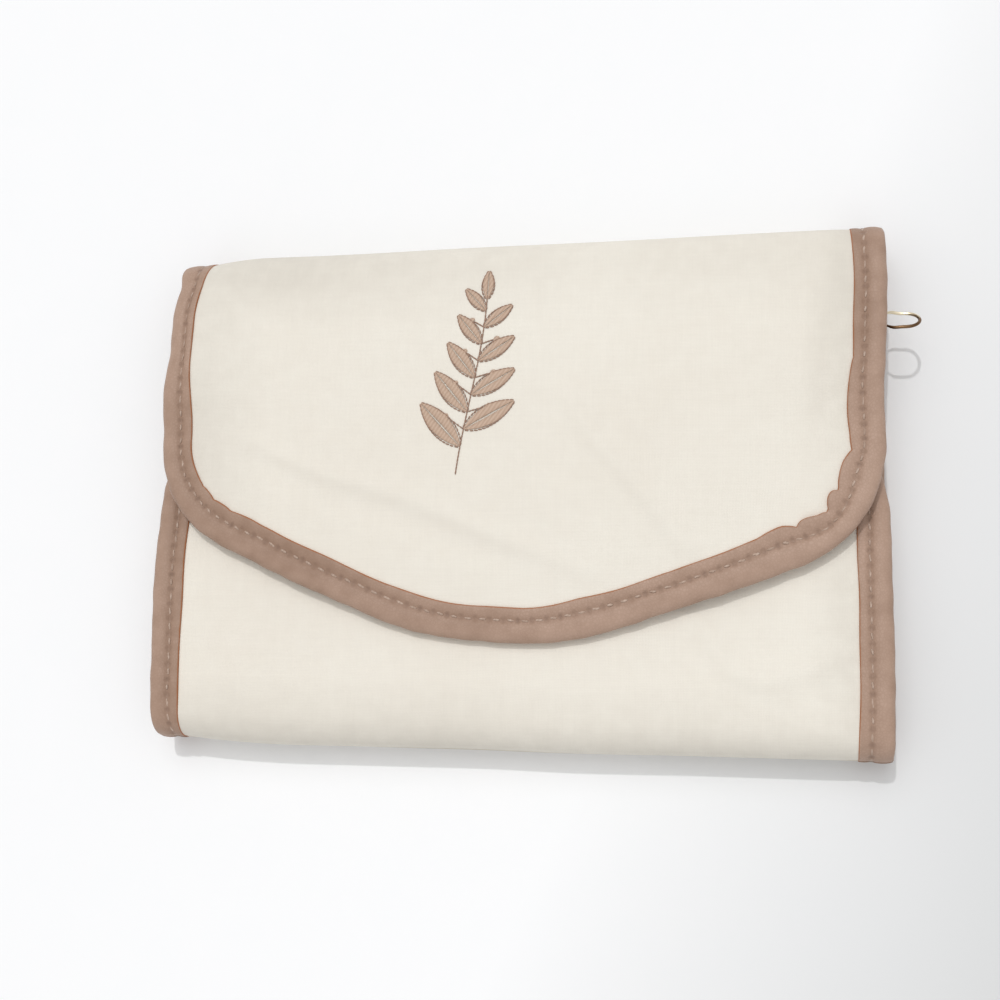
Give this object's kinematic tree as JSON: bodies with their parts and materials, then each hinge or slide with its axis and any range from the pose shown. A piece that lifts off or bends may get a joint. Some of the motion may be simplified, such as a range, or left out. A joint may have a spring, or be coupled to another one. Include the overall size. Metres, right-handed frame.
{
  "type": "travel jewelry organizer",
  "caption": "Bound canvas jewelry wallet with an envelope flap, shown folded shut; it opens flat on two folds to zip pockets and a ring bar.",
  "frame": {"origin": "middle of the back panel's outer canvas face", "axes": "+X along the folds, +Y towards the top fold, +Z from the back panel towards the flap"},
  "size_m": [0.2661, 0.1776, 0.028],
  "materials": {
    "canvas": "natural cream cotton canvas, plain weave",
    "padding": "needled batting",
    "lining": "smooth tan cotton lining",
    "binding": "tan faux leather, fine grain, low sheen",
    "zip_tape": "woven zip tape",
    "brass": "polished pale gold"
  },
  "bodies": {
    "back": {"back_canvas": "canvas", "back_padding": "padding", "back_lining": "lining", "back_binding_left": "binding", "back_binding_right": "binding", "back_pocket": "lining", "back_zip_tape_upper": "zip_tape", "back_zip_tape_lower": "zip_tape", "back_zip_teeth_upper": "brass", "back_zip_teeth_lower": "brass", "back_zip_stop_left": "brass", "back_zip_stop_right": "brass", "ring_bar_roll": "lining", "ring_bar_anchor": "lining", "ring_bar_snap_stud": "brass"},
    "top_fold": {"top_fold_canvas": "canvas", "top_fold_padding": "padding", "top_fold_lining": "lining", "top_fold_binding_left": "binding", "top_fold_binding_right": "binding"},
    "flap": {"flap_canvas": "canvas", "flap_padding": "padding", "flap_lining": "lining", "flap_binding": "binding", "flap_pocket": "lining", "flap_zip_tape_upper": "zip_tape", "flap_zip_tape_lower": "zip_tape", "flap_zip_teeth_upper": "brass", "flap_zip_teeth_lower": "brass", "flap_zip_stop_left": "brass", "flap_zip_stop_right": "brass", "snap_stud": "brass"},
    "bottom_fold": {"bottom_fold_canvas": "canvas", "bottom_fold_padding": "padding", "bottom_fold_lining": "lining", "bottom_fold_binding_left": "binding", "bottom_fold_binding_right": "binding"},
    "front": {"front_canvas": "canvas", "front_padding": "padding", "front_lining": "lining", "front_binding": "binding", "front_pocket": "lining", "snap_socket": "brass"},
    "flap_slider": {"flap_zip_slider": "brass"},
    "flap_pull": {"flap_zip_pull": "brass"},
    "back_slider": {"back_zip_slider": "brass"},
    "back_pull": {"back_zip_pull": "brass"},
    "ring_strap": {"ring_bar_strap": "lining", "ring_bar_snap_cap": "brass"}
  },
  "joints": [
    {"name": "top_fold_hinge", "type": "hinge", "parent": "back", "child": "top_fold", "pos_m": [0, 0.08542, 0.00258], "axis": [-1, 0, 0], "range_deg": [0, 90]},
    {"name": "flap_hinge", "type": "hinge", "parent": "top_fold", "child": "flap", "pos_m": [0, 0.08542, 0.02142], "axis": [-1, 0, 0], "range_deg": [0, 90]},
    {"name": "bottom_fold_hinge", "type": "hinge", "parent": "back", "child": "bottom_fold", "pos_m": [0, -0.08585, 0.00215], "axis": [1, 0, 0], "range_deg": [0, 90]},
    {"name": "front_hinge", "type": "hinge", "parent": "bottom_fold", "child": "front", "pos_m": [0, -0.08585, 0.01785], "axis": [1, 0, 0], "range_deg": [0, 90]},
    {"name": "flap_zip_slide", "type": "slide", "parent": "flap", "child": "flap_slider", "axis": [-1, 0, 0], "range_m": [0, 0.215]},
    {"name": "flap_pull_swing", "type": "hinge", "parent": "flap_slider", "child": "flap_pull", "pos_m": [0.10765, 0.05563, 0.01822], "axis": [0, 0.9986, -0.0524], "range_deg": [0, 34]},
    {"name": "back_zip_slide", "type": "slide", "parent": "back", "child": "back_slider", "axis": [-1, 0, 0], "range_m": [0, 0.215]},
    {"name": "back_pull_swing", "type": "hinge", "parent": "back_slider", "child": "back_pull", "pos_m": [0.10765, 0.023, 0.00701], "axis": [0, -1, 0], "range_deg": [0, 50]},
    {"name": "ring_strap_swing", "type": "hinge", "parent": "back", "child": "ring_strap", "pos_m": [0.0953, 0.042, 0.00949], "axis": [0, -1, 0], "range_deg": [0, 70]}
  ],
  "couplings": [
    {"joint": "flap_hinge", "follows": "top_fold_hinge", "ratio": 1},
    {"joint": "bottom_fold_hinge", "follows": "top_fold_hinge", "ratio": 1},
    {"joint": "front_hinge", "follows": "top_fold_hinge", "ratio": 1}
  ]
}
